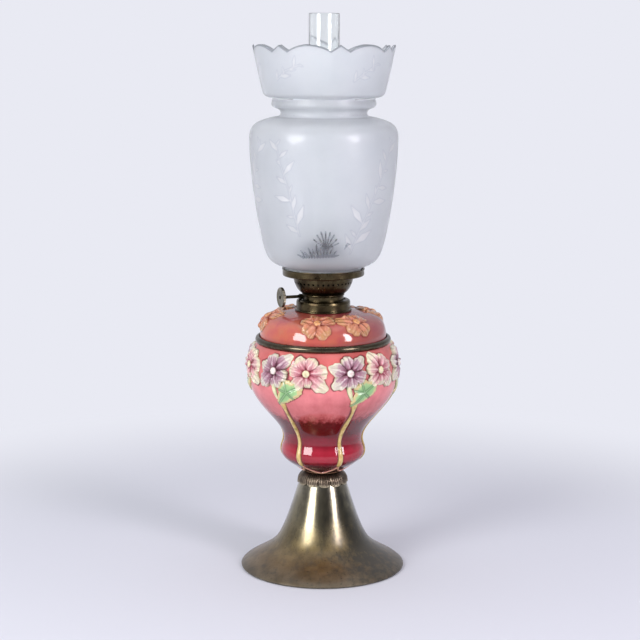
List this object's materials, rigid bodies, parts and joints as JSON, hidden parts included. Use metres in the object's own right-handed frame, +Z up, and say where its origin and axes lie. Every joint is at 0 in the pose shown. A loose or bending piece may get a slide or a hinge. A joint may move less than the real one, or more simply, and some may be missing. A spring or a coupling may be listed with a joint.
{
  "type": "kerosene table lamp",
  "caption": "Kerosene table lamp: flared metal foot, flower-relief ceramic vase with drop-in oil font, round-wick burner with winder, clear chimney and scalloped frosted glass shade.",
  "frame": {"origin": "centre of the circle on which the foot stands", "axes": "+Z up the lamp's axis, -Y towards the viewer of the picture, +X to the viewer's right"},
  "size_m": [0.17, 0.17, 0.5696],
  "materials": {
    "foot_metal": "aged, half-polished spun sheet",
    "collar_metal": "aged casting",
    "ring_metal": "aged, dull",
    "burner_metal": "aged, dark olive",
    "knob_metal": "worn bright on the rim",
    "plain_brass": "plain, unseen",
    "steel": "plain",
    "leather": "pressed",
    "vase_glaze": "gloss, pink above shading to crimson",
    "blossom_glaze": "gloss, lilac-white and pink",
    "leaf_glaze": "gloss green",
    "stem_glaze": "gloss olive yellow",
    "font_glaze": "gloss orange red",
    "font_blossom_glaze": "gloss orange",
    "plaster": "cast",
    "wick_cotton": "woven",
    "clear_glass": "clear",
    "frosted_glass": "acid-frosted with clear etched foliage"
  },
  "bodies": {
    "stand": {"trumpet_foot": "foot_metal", "foot_washer": "plain_brass", "tie_rod": "steel", "tie_rod_nuts": "plain_brass", "leaf_collar": "collar_metal", "leather_washers": "leather", "vase_washer": "plain_brass", "vase": "vase_glaze", "blossom_sprigs": "blossom_glaze", "leaf_sprigs": "leaf_glaze", "stem_sprigs": "stem_glaze", "rim_ring": "ring_metal"},
    "font": {"oil_font": "font_glaze", "font_bowl": "font_glaze", "font_blossoms": "font_blossom_glaze", "font_collar": "burner_metal", "collar_plaster": "plaster"},
    "burner": {"burner_body": "burner_metal", "air_basket": "burner_metal", "shade_gallery": "burner_metal", "chimney_holder": "burner_metal", "outer_wick_tube": "plain_brass", "draught_tube": "plain_brass", "spindle_sleeve": "plain_brass"},
    "winder": {"winder_spindle": "plain_brass", "wick_wheels": "plain_brass", "winder_knob": "knob_metal"},
    "wick": {"wick": "wick_cotton"},
    "chimney": {"chimney": "clear_glass"},
    "shade": {"shade": "frosted_glass"}
  },
  "joints": [
    {"name": "font_lift", "type": "slide", "parent": "stand", "child": "font", "axis": [0, 0, 1], "range_m": [0, 0.09]},
    {"name": "burner_turn", "type": "hinge", "parent": "font", "child": "burner", "pos_m": [0, 0, 0.2788], "axis": [0, 0, 1], "range_deg": [0, 40]},
    {"name": "winder_turn", "type": "hinge", "parent": "burner", "child": "winder", "pos_m": [-0.00289, 0.00715, 0.2844], "axis": [0.9272, 0.3746, 0], "range_deg": [-180, 90]},
    {"name": "wick_raise", "type": "slide", "parent": "burner", "child": "wick", "axis": [0, 0, 1], "range_m": [-0.012, 0.006]},
    {"name": "shade_lift", "type": "slide", "parent": "burner", "child": "shade", "axis": [0, 0, 1], "range_m": [0, 0.27]},
    {"name": "chimney_lift", "type": "slide", "parent": "burner", "child": "chimney", "axis": [0, 0, 1], "range_m": [0, 0.24]}
  ],
  "couplings": [
    {"joint": "wick_raise", "follows": "winder_turn", "m_per_rad": 0.0038}
  ]
}
